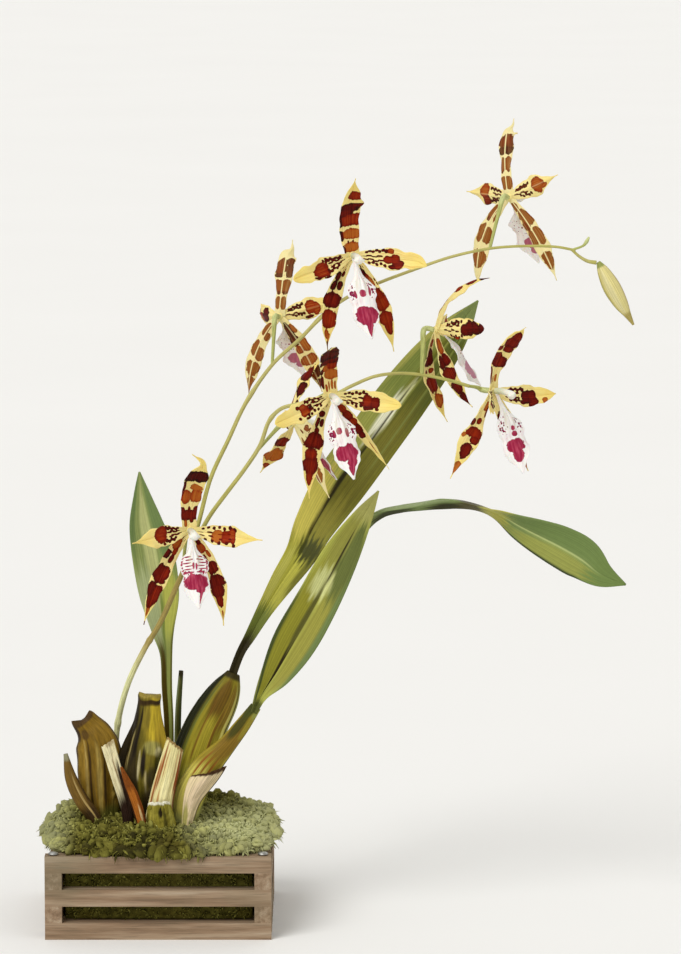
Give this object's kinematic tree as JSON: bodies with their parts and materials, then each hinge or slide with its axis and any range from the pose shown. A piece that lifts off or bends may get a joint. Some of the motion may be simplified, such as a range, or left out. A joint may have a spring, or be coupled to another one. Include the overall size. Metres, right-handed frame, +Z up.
{
  "type": "orchid plant in a slatted basket",
  "caption": "Spotted epiphytic orchid with ribbed pseudobulbs, strap leaves and a forked arching flower stem, planted in a low square slatted basket of moss.",
  "frame": {"origin": "centre of the basket's underside, on the surface that it stands on", "axes": "+Z up, -Y towards the front of the plant, +X to the right, where the flower stem arches"},
  "size_m": [0.3345, 0.1318, 0.4525],
  "materials": {
    "wood": "weathered, matt",
    "wire": "dull galvanised",
    "moss": "matt, tufted",
    "old_bulb": "satin, furrowed",
    "green_bulb": "satin, furrowed",
    "sheath": "papery, matt",
    "leaf": "satin",
    "stem": "satin",
    "tepal": "satin, yellow with red-brown blotches",
    "lip": "satin, white with crimson marks",
    "bud": "satin"
  },
  "bodies": {
    "root": {"floor_stick_1": "wood", "floor_stick_2": "wood", "floor_stick_3": "wood", "floor_stick_4": "wood", "floor_stick_5": "wood", "floor_stick_6": "wood", "floor_stick_7": "wood", "wall_stick_left_1": "wood", "wall_stick_right_1": "wood", "wall_stick_front_2": "wood", "wall_stick_back_2": "wood", "wall_stick_left_3": "wood", "wall_stick_right_3": "wood", "wall_stick_front_4": "wood", "wall_stick_back_4": "wood", "corner_wire_1": "wire", "corner_wire_2": "wire", "corner_wire_3": "wire", "corner_wire_4": "wire", "moss_bed": "moss", "pseudobulb_oldest": "old_bulb", "pseudobulb_brown": "old_bulb", "pseudobulb_middle": "green_bulb", "pseudobulb_leaning": "green_bulb", "young_shoot": "green_bulb", "leaf_left": "leaf", "leaf_stub": "leaf", "leaf_long": "leaf", "leaf_front": "leaf", "leaf_arching": "leaf", "sheath_cream_narrow": "sheath", "sheath_orange": "sheath", "sheath_cream_broad": "sheath", "sheath_green_cut": "sheath", "sheath_grey": "sheath", "flower_stem": "stem", "bud": "bud", "bloom_1_lowest_tepals": "tepal", "bloom_1_lowest_lip": "lip", "bloom_2_upper_tepals": "tepal", "bloom_2_upper_lip": "lip", "bloom_3_turned_away_tepals": "tepal", "bloom_3_turned_away_lip": "lip", "bloom_4_centre_tepals": "tepal", "bloom_4_centre_lip": "lip", "bloom_5_behind_tepals": "tepal", "bloom_5_behind_lip": "lip", "bloom_6_side_tepals": "tepal", "bloom_6_side_lip": "lip", "bloom_7_end_tepals": "tepal", "bloom_7_end_lip": "lip", "bloom_8_top_tepals": "tepal", "bloom_8_top_lip": "lip"}
  },
  "joints": []
}
